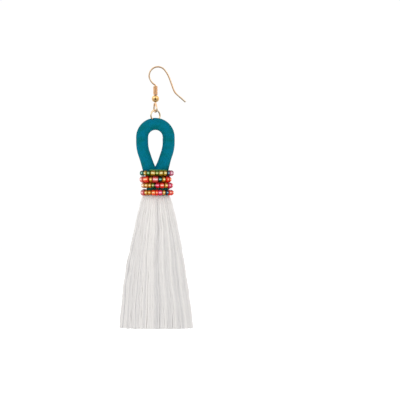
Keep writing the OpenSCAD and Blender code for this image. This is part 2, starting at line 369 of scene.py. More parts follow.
def cord_route(steps, at, heading, spacing):
    """Points, headings and curvature of a route in the XZ plane, evenly spaced along it."""
    points, headings, curves = [], [], []
    for size, turn in steps:
        length = abs(math.radians(turn)) * size if turn else size
        count = max(2, round(length / spacing))
        start_at, start_heading = at, heading
        for i in range(count + 1):
            share = i / count
            heading = start_heading + math.radians(turn) * share
            chord = 2 * size * math.sin(abs(heading - start_heading) / 2) if turn else size * share
            toward = (start_heading + heading) / 2
            at = (start_at[0] - chord * math.sin(toward), start_at[1] + chord * math.cos(toward))
            if i < count:
                points.append(at)
                headings.append(heading)
                curves.append(math.copysign(1 / size, turn) if turn else 0)
    return np.array(points), np.array(headings), np.array(curves)


def straight_thread(name, sides, rings, copies=1):
    """Straight threads side by side, one wide and one long for each ring, with u round and v along."""
    bm = bmesh.new()
    bmesh.ops.create_circle(bm, segments=sides, radius=0.5)
    bmesh.ops.spin(
        bm, geom=bm.edges[:], cent=(0, 0, 0), axis=(0, 0, 1), dvec=(0, 0, 1), angle=0, steps=rings
    )
    for z in (0, rings):
        rim = [e for e in bm.edges if e.is_boundary and abs(e.verts[0].co.z - z) < 0.5]
        bmesh.ops.edgeloop_fill(bm, edges=rim)
    bmesh.ops.recalc_face_normals(bm, faces=bm.faces)
    uv = bm.loops.layers.uv.new("thread")
    for face in bm.faces:
        turns = [math.atan2(loop.vert.co.y, loop.vert.co.x) / (2 * math.pi) % 1 for loop in face.loops]
        for loop, turn in zip(face.loops, turns):
            seam = 1 if max(turns) - turn > 0.5 else 0
            loop[uv].uv = (turn + seam, loop.vert.co.z)
    made = smooth_object(name, bm)
    if copies > 1:
        array = made.modifiers.new("side by side", "ARRAY")
        array.count = copies
        array.use_relative_offset = False
        array.use_constant_offset = True
        array.constant_offset_displace = (2, 0, 0)
        shaped = made.evaluated_get(bpy.context.evaluated_depsgraph_get())
        made.data = bpy.data.meshes.new_from_object(shaped)
        made.modifiers.clear()
    return made


def read_points(mesh):
    """The mesh's points as an array."""
    points = np.zeros(len(mesh.vertices) * 3)
    mesh.vertices.foreach_get("co", points)
    return points.reshape(-1, 3)


def lay(thread, centres, wide, thick):
    """Lays straight threads along their routes: a middle and two half axes for each copy and ring."""
    points = read_points(thread.data)
    copy = np.round(points[:, 0] / 2).astype(int)
    ring = np.round(points[:, 2]).astype(int)
    x = (points[:, 0] - copy * 2)[:, None]
    y = points[:, 1][:, None]
    laid = centres[copy, ring] + x * wide[copy, ring] + y * thick[copy, ring]
    thread.data.vertices.foreach_set("co", laid.ravel())
    thread.data.update()


def joined(name, *objects):
    """Joins objects into one new one, and removes them."""
    bm = bmesh.new()
    materials = []
    for part in objects:
        for material in part.data.materials:
            if material not in materials:
                materials.append(material)
        before = len(bm.faces)
        bm.from_mesh(part.data)
        bm.faces.ensure_lookup_table()
        for face in bm.faces[before:]:
            face.material_index = materials.index(part.data.materials[face.material_index])
        bpy.data.objects.remove(part)
    return smooth_object(name, bm, *materials)


# A CAD node's mesh is loose triangles, whose points are merged within this
node_merge = 0.001 * MM


def core_of(node, shrink):
    """A copy of a CAD node's closed shape, drawn in by the thread that is wound on it."""
    bm = bmesh.new()
    bm.from_mesh(frame["nodes"][node].data)
    bmesh.ops.remove_doubles(bm, verts=bm.verts, dist=node_merge)
    bmesh.ops.recalc_face_normals(bm, faces=bm.faces)
    bm.normal_update()
    for vert in bm.verts:
        vert.co -= vert.normal * shrink
    return finished("core_" + node, bm)


# Nine fibres show round a thread, each for some three of its sections, about 1.5 mm
fibres_round = 9
fibres_a_section = 0.35
fibre_height = 0.05 * MM
# Levels of the pattern where the dye is darkest and palest, and the fibres' share in it
dark_level = 0.36
pale_level = 0.64
fibre_share = 0.35


def wound_thread(name, dark, mid, light, patch):
    """Close-wound cotton floss: matt, with fine fibres and patches of faded dye."""
    made, shader = surface(name, mid, Roughness=0.8, Specular_IOR_Level=0.04)
    tree = made.node_tree
    place = put(tree, "ShaderNodeTexCoord", {})
    cloud = put(tree, "ShaderNodeTexNoise", {
        "Vector": place.outputs["Object"], "Scale": 1 / patch, "Detail": 2,
    })
    along = put(tree, "ShaderNodeMapping", {
        "Vector": place.outputs["UV"], "Scale": (fibres_round, fibres_a_section, 1),
    })
    fibre = put(tree, "ShaderNodeTexNoise", {"Vector": along.outputs["Vector"], "Scale": 1, "Detail": 3})
    both = put(tree, "ShaderNodeMix", {
        "Factor": fibre_share, "A": cloud.outputs["Fac"], "B": fibre.outputs["Fac"],
    })
    dye = put(tree, "ShaderNodeValToRGB", {"Fac": both.outputs["Result"]})
    darkest, palest = dye.color_ramp.elements
    darkest.position = dark_level
    darkest.color = linear(dark)
    palest.position = pale_level
    palest.color = linear(light)
    dye.color_ramp.elements.new(0.5).color = linear(mid)
    tree.links.new(dye.outputs["Color"], shader.inputs["Base Color"])
    bump = put(tree, "ShaderNodeBump", {
        "Height": fibre.outputs["Fac"], "Strength": 0.5, "Distance": fibre_height,
    })
    tree.links.new(bump.outputs["Normal"], shader.inputs["Normal"])
    return made


teal = wound_thread("teal_embroidery_thread", "#00646A", "#006A7C", "#006A86", 2.5 * MM)

leg_x = loop_r - side_r * (1 - math.cos(leg_lean))
leg_z = loop_centre_z - side_run - side_r * math.sin(leg_lean)
leg_run = (leg_z - loop_low.z) / math.cos(leg_lean) + cord_r
right_foot = (leg_x - leg_run * math.sin(leg_lean), leg_z - leg_run * math.cos(leg_lean))
cord_steps = [
    (leg_run, 0), (side_r, leg_angle), (side_run, 0), (loop_r, 180),
    (side_run, 0), (side_r, leg_angle), (leg_run, 0),
]
points, headings, curves = cord_route(cord_steps, right_foot, -leg_lean, route_spacing)
lengths = np.concatenate([[0], np.cumsum(np.linalg.norm(np.diff(points, axis=0), axis=1))])
turns = int(lengths[-1] / thread_pitch)
rings = turns * sections_a_turn
s = np.linspace(0, lengths[-1], rings + 1)
turn = 2 * np.pi * s / thread_pitch
middle = np.stack(
    [np.interp(s, lengths, points[:, 0]), 0 * s, np.interp(s, lengths, points[:, 1])], axis=1
)
lean = np.interp(s, lengths, headings)
curve = np.interp(s, lengths, curves)
forward = np.stack([-np.sin(lean), 0 * s, np.cos(lean)], axis=1)
inward = np.stack([-np.cos(lean), 0 * s, -np.sin(lean)], axis=1)
outward = np.cos(turn)[:, None] * inward + np.sin(turn)[:, None] * np.array([0, 1, 0])
wound_r = cord_r - thread_t / 2
near_neck = np.clip(1 - (middle[:, 2] - loop_low.z) / press_run, 0, 1) ** 2
pressed = near_neck * np.where(s < lengths[-1] / 2, *legs_pressed)
centres = middle + outward * wound_r + inward * (np.cos(turn) * pressed)[:, None]

# The thread makes way for the ring: its line is pushed out of an opening round the ring's wire
offset = centres - np.array(ring_centre)
beside = offset @ np.array(ring_side)
height = offset[:, 2]
round_ring = np.hypot(beside, height)
off_wire = round_ring - ring_r
off_plane = offset @ np.array(ring_axis)
sweep = (height + ring_r + opening_beside) * math.tan(nod_angle)
half_along = opening_along + np.clip(sweep, 0, None) * opening_sweep
apart = np.hypot(off_wire / opening_beside, off_plane / half_along)
push = np.where(apart < opening_spread, 1 + apart * (opening_spread - 1) / opening_spread, apart)
push = push / np.clip(apart, opening_heart, None)
ring_out = beside[:, None] * np.array(ring_side) + height[:, None] * np.array([0, 0, 1])
ring_out = ring_out / round_ring[:, None]
moved = centres + ring_out * ((push - 1) * off_wire)[:, None]
moved = moved + np.array(ring_axis) * ((push - 1) * off_plane)[:, None]
top_turn = np.arctan2(moved[:, 0], moved[:, 2] - loop_centre_z)
top_middle = np.stack(
    [loop_r * np.sin(top_turn), 0 * s, loop_centre_z + loop_r * np.cos(top_turn)], axis=1
)
from_middle = moved - top_middle
moved = top_middle + from_middle * (wound_r / np.linalg.norm(from_middle, axis=1))[:, None]
near = (apart < opening_spread) & (height < 0)
centres = np.where(near[:, None], moved, centres)

stretch = 1 - curve * (outward * inward).sum(axis=1) * wound_r
width = turn_overlap * thread_pitch * np.clip(stretch, *turn_squeeze)
winding = straight_thread("winding", thread_sides, rings)
lay(winding, centres[None], (forward * width[:, None])[None], (outward * thread_t)[None])
winding.data.materials.append(teal)
core = core_of("cord_loop", thread_t * core_inset)
core.data.materials.append(teal)
# The core widens under the thread, and both legs run on into the binding of the neck
for vert in core.data.vertices:
    above_neck = vert.co.z - loop_low.z
    leg_at = leg_x - (leg_z - vert.co.z) * math.tan(leg_lean)
    out_share = max(0, (abs(vert.co.x) - leg_at) / cord_r) * max(0, 1 - above_neck / press_run) ** 2
    vert.co.x += math.copysign(out_share, vert.co.x) * legs_pressed[0 if vert.co.x > 0 else 1]
    if above_neck < leg_end:
        vert.co.z -= leg_tuck
cut = bmesh.new()
cut.from_mesh(winding.data)
bmesh.ops.bisect_plane(
    cut, geom=cut.verts[:] + cut.edges[:] + cut.faces[:], plane_co=(0, 0, loop_low.z - leg_tuck),
    plane_no=(0, 0, 1), clear_inner=True,
)
bmesh.ops.holes_fill(cut, edges=[e for e in cut.edges if e.is_boundary], sides=0)
cut.to_mesh(winding.data)
cut.free()
wound_loop = joined("wound_cord_loop", winding, core)
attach(wound_loop, "drop")
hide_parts("cord_loop")


# Neck
# The two legs of the cord and the heads of the skirt's threads, bound together by many turns of
# the same thread in a deeper green. It shows as dark bands between the rows of beads.
binding_pitch = 0.42 * MM
binding_t = 0.28 * MM
binding_overlap = 1.25
sections_round_neck = 40
neck_core_inset = 1.2

neck_low, neck_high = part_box("neck_binding")
bead_rows = [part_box("bead_row_" + str(i)) for i in (1, 2, 3, 4)]
row_x = np.array([(low.x + high.x) / 2 for low, high in bead_rows])
neck_half_t = (neck_high.y - neck_low.y) / 2
seat_gap = 0.05 * MM
bead_d = 2.2 * MM
# How far each row lies under the first in front, in beads
rows_under = np.array([0, 1.14, 2.23, 3.54])
row_z = bead_rows[0][1].z - bead_d * (0.5 + rows_under)
# Half of the straight front and back of each row's oval, which has a round end on each side
row_half_w = np.array([(high.x - low.x) / 2 for low, high in bead_rows])
half_runs = row_half_w - bead_d - seat_gap - neck_half_t


def oval_place(s, half_run, end_r):
    """Place and heading at a length s round an oval, from the middle of its front towards +X."""
    around = 4 * half_run + 2 * math.pi * end_r
    s = np.mod(s, around)
    quarter = half_run + math.pi * end_r
    first = (s - half_run) / end_r
    last = (s - 2 * half_run - quarter) / end_r
    # Half the front, the right end, the back and the left end, and then the front's other half
    parts = [s < half_run, s < quarter, s < quarter + 2 * half_run, s < around - half_run]
    xs = [s, half_run + end_r * np.sin(first), half_run - (s - quarter), -half_run - end_r * np.sin(last)]
    ys = [-end_r + 0 * s, -end_r * np.cos(first), end_r + 0 * s, end_r * np.cos(last)]
    x = np.select(parts, xs, s - around)
    y = np.select(parts, ys, -end_r)
    heading = np.select(parts, [0 * s, first, math.pi + 0 * s, math.pi + last], 0)
    return x, y, heading


binding_green = wound_thread("binding_thread", "#0D5A4C", "#186E62", "#267C7A", 1.2 * MM)
# The beads' coloured light is painted on the front of the thread, where it shows between the rows: green
# over the first row, brown under it and red under the second. The places lie between the first row, 0,
# and the third, 1
top_bead_light = "#5C901C"
bead_light_bands = [(0.15, "#9A5A18"), (0.4, "#9A5A18"), (0.6, "#F0520E"), (0.9, "#F0520E")]
bead_light_strength = 0.9
bead_light_full_y = -1.5 * MM
bead_light_end_y = 0.5 * MM
tree = binding_green.node_tree
shader = tree.nodes["Principled BSDF"]
bound = shader.inputs["Base Color"].links[0].from_socket
place = put(tree, "ShaderNodeTexCoord", {})
place = put(tree, "ShaderNodeSeparateXYZ", {"Vector": place.outputs["Object"]})
under = put(tree, "ShaderNodeMapRange", {
    "Value": place.outputs["Z"], "From Min": row_z[0], "From Max": row_z[2],
})
bead_light = put(tree, "ShaderNodeValToRGB", {"Fac": under.outputs["Result"]})
bead_light.color_ramp.elements[0].color = linear(top_bead_light)[:3] + [bead_light_strength]
bead_light.color_ramp.elements[1].color = linear(bead_light_bands[-1][1])[:3] + [0]
for at, colour in bead_light_bands:
    bead_light.color_ramp.elements.new(at).color = linear(colour)[:3] + [bead_light_strength]
# The painted bead light fades out round the sides of the neck, towards its back
in_front = put(tree, "ShaderNodeMapRange", {
    "Value": place.outputs["Y"], "From Min": bead_light_end_y, "From Max": bead_light_full_y,
})
bead_light_share = put(
    tree, "ShaderNodeMath", {0: bead_light.outputs["Alpha"], 1: in_front.outputs["Result"]},
    operation="MULTIPLY",
)
mixed = put(
    tree, "ShaderNodeMix", {0: bead_light_share.outputs["Value"], 6: bound, 7: bead_light.outputs["Color"]},
    data_type="RGBA",
)
tree.links.new(mixed.outputs[2], shader.inputs["Base Color"])

binding_turns = int((neck_high.z - neck_low.z - binding_t) / binding_pitch)
rings = binding_turns * sections_round_neck
share = np.linspace(0, 1, rings + 1)
# The thread starts at the back, half a turn up on the feet of the legs
first_z = neck_high.z - binding_t / 2 + binding_pitch / 2
z = first_z - share * (first_z - neck_low.z - binding_t / 2)
half_run = np.interp(-z, -row_z, half_runs)
bound_r = neck_half_t - binding_t / 2
once_round = 4 * half_run + 2 * math.pi * bound_r
x, y, heading = oval_place(np.mod(share * binding_turns + 0.5, 1) * once_round, half_run, bound_r)
centres = np.stack([x + np.interp(-z, -row_z, row_x), y, z], axis=1)
out = np.stack([np.sin(heading), -np.cos(heading), 0 * z], axis=1)
binding = straight_thread("binding", thread_sides, rings)
wide = np.array([0, 0, binding_pitch * binding_overlap]) + 0 * centres[None]
lay(binding, centres[None], wide, (out * binding_t)[None])
binding.data.materials.append(binding_green)
neck_core = core_of("neck_binding", binding_t * neck_core_inset)
neck_core.data.materials.append(binding_green)
bound_neck = joined("bound_neck", binding, neck_core)
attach(bound_neck, "drop")
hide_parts("neck_binding")


# Beads
# One string of 2.2 mm glass seed beads, wound four times round the neck: coloured glass with a hole that
# is silvered inside. Along each bead's outer middle a bright bar is painted as a highlight where the
# silvering would show through the glass.
bead_hole_r = 0.3 * MM
bead_steps = 24
# A bead's edges are rounded by this, or by this share of a short one's length
bead_round = 0.5 * MM
bead_round_share = 0.4
string_d = 0.45 * MM
# The colour of each sort's glass, and its girth beside a usual bead
glass = {
    "teal": ("#1C6450", 0.98), "straw": ("#AC8C2A", 0.99), "green": ("#386C20", 1),
    "pip": ("#6C7A16", 0.9), "navy": ("#0E3050", 0.98), "pink": ("#BC607A", 1.05),
    "blush": ("#DC6A5A", 1.2), "ember": ("#DE4614", 1.2), "rosy": ("#C8504A", 1.2),
    "bottle": ("#064434", 0.98), "scarlet": ("#E02808", 1.2), "gold": ("#C88A22", 0.94),
    "cream": ("#D8A270", 0.98), "olive": ("#707818", 0.9), "wine": ("#4A0A12", 0.95),
    "magenta": ("#D21436", 1.02), "mauve": ("#D4345A", 1.04), "rose": ("#CC5A5C", 1.08),
    "amber": ("#C4780A", 1), "orange": ("#EA6418", 1.02), "coral": ("#E0442A", 1.03),
    "ruby": ("#D4200E", 1.28), "petal": ("#F0A488", 1.28),
}
# For each turn round the neck: where its first bead starts, in mm from the neck's left side, the
# beads that cross the front with their lengths, and the beads behind, which share what is left
strings = [
    (-1.6, "teal 1.6 teal 1.45 teal 1.45 straw 1.3 green 1.35 straw 1.9 pip 1.45 straw 1.65 straw 1.4"
        " navy 1 pink 1.5 pink 1.5", "gold green gold coral gold amber olive gold scarlet"),
    (-0.6, "blush 1.35 blush 1.75 ember 2.3 gold 1.25 rosy 2.3 bottle 1.5 gold 1.3 scarlet 1.3"
        " ember 1.35", "gold bottle orange gold magenta gold teal gold pink"),
    (-0.65, "cream 1.3 cream 2 gold 1.6 gold 1.1 olive 1.15 wine 0.5 magenta 1.6 coral 1.7 gold 1.4"
        " mauve 1.25 mauve 1.25", "gold coral ruby ruby rosy gold navy gold petal"),
    (-0.65, "rose 1.65 rose 1.75 gold 1.4 amber 1.25 orange 1.6 scarlet 1.1 mauve 1.7 gold 1.1 navy 1.1"
        " coral 1.4 coral 1.45", "gold green amber"),
]
# The string starts behind the neck's left side and ends behind its right, at these turns
string_start = -0.05
string_end = 3.62
string_sides = 6
string_sections = 80
# Part of a turn from a side of the neck to the middle of its front or back
quarter = 0.25
# Parts of a turn in which the string passes to the next row's oval and falls to its height, behind
string_passes = (0.58, 0.92)
string_falls = (0.5, 1)
# A bead fills this share of its place, and lies tipped and turned by about so many radians
bead_fill = 0.98
bead_tip = 0.04
bead_turn = 0.03


def silver_lined_glass_with_painted_light():
    """Clear dyed glass with a high polish, with a painted highlight bar along its outer middle over the
    hole, painted shade towards its sides and back, and painted light at its foot.
    """
    made, shader = surface(
        "silver_lined_glass_with_painted_light", "#FFFFFF", Roughness=0.08, IOR=1.52, Transmission_Weight=0.1,
        Specular_IOR_Level=0.3,
    )
    tree = made.node_tree
    dye = put(tree, "ShaderNodeAttribute", {}, attribute_name="glass_dye").outputs["Color"]
    place = put(tree, "ShaderNodeAttribute", {}, attribute_name="bead_place").outputs["Vector"]
    # X is the way round the hole, from 0 in front to 1 behind, Y the distance from the hole's middle and
    # Z the height over it, both as shares of the bead's half thickness
    place = put(tree, "ShaderNodeSeparateXYZ", {"Vector": place})
    # Painted highlight: a pale bar along the middle of the bead's outer wall, not on its end faces
    bar = put(tree, "ShaderNodeMapRange", {
        "Value": place.outputs["X"], "From Min": 0.05, "From Max": 0.12, "To Min": 0.84, "To Max": 0.0,
    })
    ends = put(tree, "ShaderNodeMapRange", {
        "Value": place.outputs["Y"], "From Min": 0.8, "From Max": 0.99,
    })
    painted_bar_share = put(
        tree, "ShaderNodeMath", {0: bar.outputs["Result"], 1: ends.outputs["Result"]},
        operation="MULTIPLY",
    )
    # Painted shade: the dye is deepened towards the bead's sides and back, as for a longer way through
    # the glass, and paled along the painted bar
    thick = put(tree, "ShaderNodeMapRange", {
        "Value": place.outputs["X"], "From Min": 0.08, "From Max": 0.38, "To Min": 1.05, "To Max": 1.7,
    })
    painted_shade_gamma = put(
        tree, "ShaderNodeMath", {0: thick.outputs["Result"], 1: painted_bar_share.outputs["Value"]},
        operation="SUBTRACT",
    )
    shade = put(tree, "ShaderNodeGamma", {"Color": dye, "Gamma": painted_shade_gamma.outputs["Value"]})
    # Painted light: the bead's lower side is darkened less towards its sides and back, as if the glass
    # gathered light from above in its foot
    foot = put(tree, "ShaderNodeMapRange", {
        "Value": place.outputs["Z"], "From Min": -0.3, "From Max": -0.85, "To Min": 0.42, "To Max": 1.0,
    })
    # Painted shade: the colour darkens towards the bead's sides and back, less so at its foot
    painted_rim_shade = put(tree, "ShaderNodeMapRange", {
        "Value": place.outputs["X"], "From Min": 0.12, "From Max": 0.42, "To Min": 1.0,
        "To Max": foot.outputs["Result"],
    })
    seen = put(
        tree, "ShaderNodeVectorMath", {0: shade.outputs["Color"], "Scale": painted_rim_shade.outputs["Result"]},
        operation="SCALE",
    )
    tree.links.new(seen.outputs["Vector"], shader.inputs["Base Color"])
    return made


def bead_shape(length, girth):
    """One bead along X: a rounded wall spun about its hole, whose faces get the second material."""
    bm = bmesh.new()
    half = length / 2
    outer_r = bead_d / 2 * girth
    corners = [(-half, bead_hole_r), (-half, outer_r), (half, outer_r), (half, bead_hole_r)]
    verts = [bm.verts.new((x, 0, r)) for x, r in corners]
    for i in range(4):
        bm.edges.new((verts[i], verts[(i + 1) % 4]))
    bmesh.ops.bevel(
        bm, geom=verts[1:3], offset=min(bead_round, bead_round_share * length), segments=4, profile=0.5,
        affect="VERTICES", material=-1,
    )
    bmesh.ops.spin(
        bm, geom=bm.verts[:] + bm.edges[:], cent=(0, 0, 0), axis=(1, 0, 0), angle=2 * math.pi,
        steps=bead_steps, use_merge=True,
    )
    bmesh.ops.remove_doubles(bm, verts=bm.verts, dist=merge_within)
    bmesh.ops.recalc_face_normals(bm, faces=bm.faces)
    for face in bm.faces:
        middle = face.calc_center_median()
        face.material_index = 1 if math.hypot(middle.y, middle.z) < bead_hole_r * 1.05 else 0
    place = bm.verts.layers.float_vector.new("bead_place")
    for vert in bm.verts:
        around = math.atan2(abs(vert.co.z), -vert.co.y) / math.pi
        vert[place] = (around, math.hypot(vert.co.y, vert.co.z) / outer_r, vert.co.z / outer_r)
    mesh = bpy.data.meshes.new("bead")
    bm.to_mesh(mesh)
    bm.free()
    return mesh


def ease(at, first, last):
    """A soft rise from 0 at the first place to 1 at the last."""
    share = np.clip((at - first) / (last - first), 0, 1)
    return share * share * (3 - 2 * share)


def string_place(turns):
    """Places on the string, in turns from the top row's left side: level in front, falling behind."""
    row = np.clip(np.floor(turns), 0, 3).astype(int)
    turn = turns - row
    after = np.minimum(row + 1, 3)
    slid = ease(turn, *string_passes)
    half_run = half_runs[row] * (1 - slid) + half_runs[after] * slid
    around = 4 * half_run + 2 * math.pi * string_r
    x, y, _ = oval_place((turn - quarter) * around, half_run, string_r)
    x = x + row_x[row] * (1 - slid) + row_x[after] * slid
    fallen = ease(turn, *string_falls)
    z = row_z[row] * (1 - fallen) + row_z[after] * fallen
    return np.stack([x, y, z], axis=-1)


# Every bead of the string: where it starts and ends, in turns, and its sort
string_r = neck_half_t + seat_gap + bead_d / 2
once_round = 4 * half_runs + 2 * math.pi * string_r
starts = [row + first * MM / once_round[row] for row, (first, _, _) in enumerate(strings)] + [string_end]
bead_list = []
for row, (_, front, behind) in enumerate(strings):
    words = front.split()
    at = starts[row]
    for sort, length in zip(words[::2], words[1::2]):
        step = float(length) * MM / once_round[row]
        bead_list.append((at, at + step, sort))
        at += step
    behind = behind.split()
    step = (starts[row + 1] - at) / len(behind)
    for i, sort in enumerate(behind):
        bead_list.append((at + i * step, at + (i + 1) * step, sort))

bead_glass = silver_lined_glass_with_painted_light()
# The silvering is a matt mirror behind the glass, and the string a waxed thread
silvering, _ = surface("silvered_hole", "#F4F1EA", Metallic=1, Roughness=0.38)
string_thread, _ = surface("waxed_string", "#3E3A2C", Roughness=0.6)
rng = np.random.default_rng(11)
for row in range(4):
    # Each piece runs from the middle of the back round to the middle of the back
    first = max(row - quarter, string_start)
    last = min(row + 1 - quarter, string_end)
    bm = bmesh.new()
    dyes = []
    for start, stop, sort in bead_list:
        middle = (start + stop) / 2
        if not first <= middle < last:
            continue
        dye, girth = glass[sort]
        ends = string_place(np.array([start, middle, stop]))
        way = Vector(ends[2] - ends[0]).normalized()
        length = (ends[2] - ends[0]) @ np.array(way)
        level = Vector((way.x, way.y, 0)).normalized()
        heading = math.atan2(level.y, level.x)
        slope = math.asin(-way.z)
        tip = Matrix.Rotation(rng.normal(0, bead_tip), 4, "Y")
        tip = tip @ Matrix.Rotation(rng.normal(0, bead_turn), 4, "Z")
        lie = Matrix.Rotation(heading, 4, "Z") @ Matrix.Rotation(slope, 4, "Y")
        put_at = Matrix.Translation(ends[1]) @ lie @ tip
        before = len(bm.verts)
        bm.from_mesh(bead_shape(length * bead_fill, girth))
        bm.verts.ensure_lookup_table()
        bmesh.ops.transform(bm, matrix=put_at, verts=bm.verts[before:])
        dyes.append((before, len(bm.verts), linear(dye)))
    layer = bm.verts.layers.float_color.new("glass_dye")
    bm.verts.ensure_lookup_table()
    for before, after, dye in dyes:
        for vert in bm.verts[before:after]:
            vert[layer] = dye
    name = "bead_string_" + str(row + 1)
    string_of_beads = finished(name, bm, bead_glass, silvering)
    centres = string_place(np.linspace(first, last, string_sections + 1))
    forward = np.gradient(centres, axis=0)
    out = np.cross(forward, [0, 0, 1])
    out /= np.linalg.norm(out, axis=1, keepdims=True)
    string = straight_thread("string", string_sides, string_sections)
    high = np.array([0, 0, string_d]) + 0 * centres[None]
    lay(string, centres[None], high, (out * string_d)[None])
    string.data.materials.append(string_thread)
    string_of_beads = joined(name, string_of_beads, string)
    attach(string_of_beads, "drop")
    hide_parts("bead_row_" + str(row + 1))


# Skirt
# Over 400 loose lengths of soft three-ply cotton, bound at the neck and cut level. They pack
# closely under the beads, fan out in shallow locks, and hang with a slight wave left by the hank.
strand_d = 0.95 * MM
strand_d_spread = (0.92, 1.08)
# The binding squeezes the strands to the first share of that, and they soon swell by the second
squeezed = 0.7
swelling = 0.3
swelling_pace = 2.5
plies = 3
ply_pitch = 9 * MM
between_plies = 0.82
locks = 18
lock_depth = 0.22 * MM
# The strands' heads are tucked up under the beads, and the cut end is level but for a little
head_tuck = 0.3 * MM
foot_lift = 0.15 * MM
cut_spread = 0.3 * MM
# Loose strands stand a little proud under the beads and in the lower half, and the skirt's middle hangs
# a little to the left: places down the skirt, and the shares there
fluff = 0.35 * MM
fluff_down = ([0, 0.05, 0.1, 0.35, 0.5], [1, 0.8, 0, 0, 1])
bow = 0.27 * MM
bow_down = ([0.3, 0.5, 0.68, 0.85], [0, 1, 1, 0])
# The whole skirt's waves: height and length in mm, crests round the skirt, and where they start
skirt_waves = [(0.18, 29, 3, 0.5), (0.06, 15, -5, 2.1)]
# Each strand's own wave and sway inwards, and their shortest and longest lengths, all in mm
strand_wave = 0.06
strand_sway = 0.07
own_lengths = (9, 19)
# How far inside the outline a strand's middle lies, as a share of its thickness
strand_inset = 0.46

skirt_low, skirt_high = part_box("tassel_skirt")
skirt_x = (skirt_low.x + skirt_high.x) / 2
head_z = skirt_high.z + head_tuck
foot_z = skirt_low.z + foot_lift
# The CAD skirt's half width and half depth at each height of its mesh
outline = read_points(frame["nodes"]["tassel_skirt"].data)
levels = np.unique(np.round(outline[:, 2], 6))
at_level = [outline[np.abs(outline[:, 2] - z) < merge_within] for z in levels]
half_wide = [np.abs(points[:, 0] - skirt_x).max() for points in at_level]
half_deep = [np.abs(points[:, 1]).max() for points in at_level]

# Seven lines of lint show round a strand, each for some three of its sections, about 1.6 mm
lint_round = 7
lint_a_section = 0.3
lint_share = 0.3
# How far the strands differ in tone, and how much paler their heads are painted, as painted light that
# lifts the shade under the beads
tone_spread = 0.9
painted_head_light = 0.6


def cotton():
    """Soft natural cotton: matt and white, warm and cool by the strand, darker between its plies, with
    its heads painted paler as painted light.
    """
    made, shader = surface(
        "cotton_strand", "#E2DED9", Roughness=0.9, Sheen_Weight=0.1, Specular_IOR_Level=0.2
    )
    tree = made.node_tree
    tone = put(tree, "ShaderNodeAttribute", {}, attribute_name="strand_tone")
    place = put(tree, "ShaderNodeTexCoord", {})
    lint = put(tree, "ShaderNodeMapping", {
        "Vector": place.outputs["UV"], "Scale": (lint_round, lint_a_section, 1),
    })
    fibre = put(tree, "ShaderNodeTexNoise", {"Vector": lint.outputs["Vector"], "Scale": 1, "Detail": 3})
    both = put(tree, "ShaderNodeMix", {
        "Factor": lint_share, "A": tone.outputs["Fac"], "B": fibre.outputs["Fac"],
    })
    shade = put(tree, "ShaderNodeValToRGB", {"Fac": both.outputs["Result"]})
    grey, white = shade.color_ramp.elements
    grey.position = 0.1
    grey.color = linear("#C2C0C0")
    white.position = 0.9
    white.color = linear("#DEDBD8")
    tree.links.new(shade.outputs["Color"], shader.inputs["Base Color"])
    bump = put(tree, "ShaderNodeBump", {
        "Height": fibre.outputs["Fac"], "Strength": 0.4, "Distance": fibre_height,
    })
    tree.links.new(bump.outputs["Normal"], shader.inputs["Normal"])
    return made


def even_angles(count, first):
    """Angles that divide the outline of the cut end into equal lengths."""
    fine = np.linspace(0, 2 * np.pi, 2001)
    x = half_wide[0] * np.cos(fine)
    y = half_deep[0] * np.sin(fine)
    lengths = np.concatenate([[0], np.cumsum(np.hypot(np.diff(x), np.diff(y)))])
    return np.interp((np.arange(count) + first) / count * lengths[-1], lengths, fine)


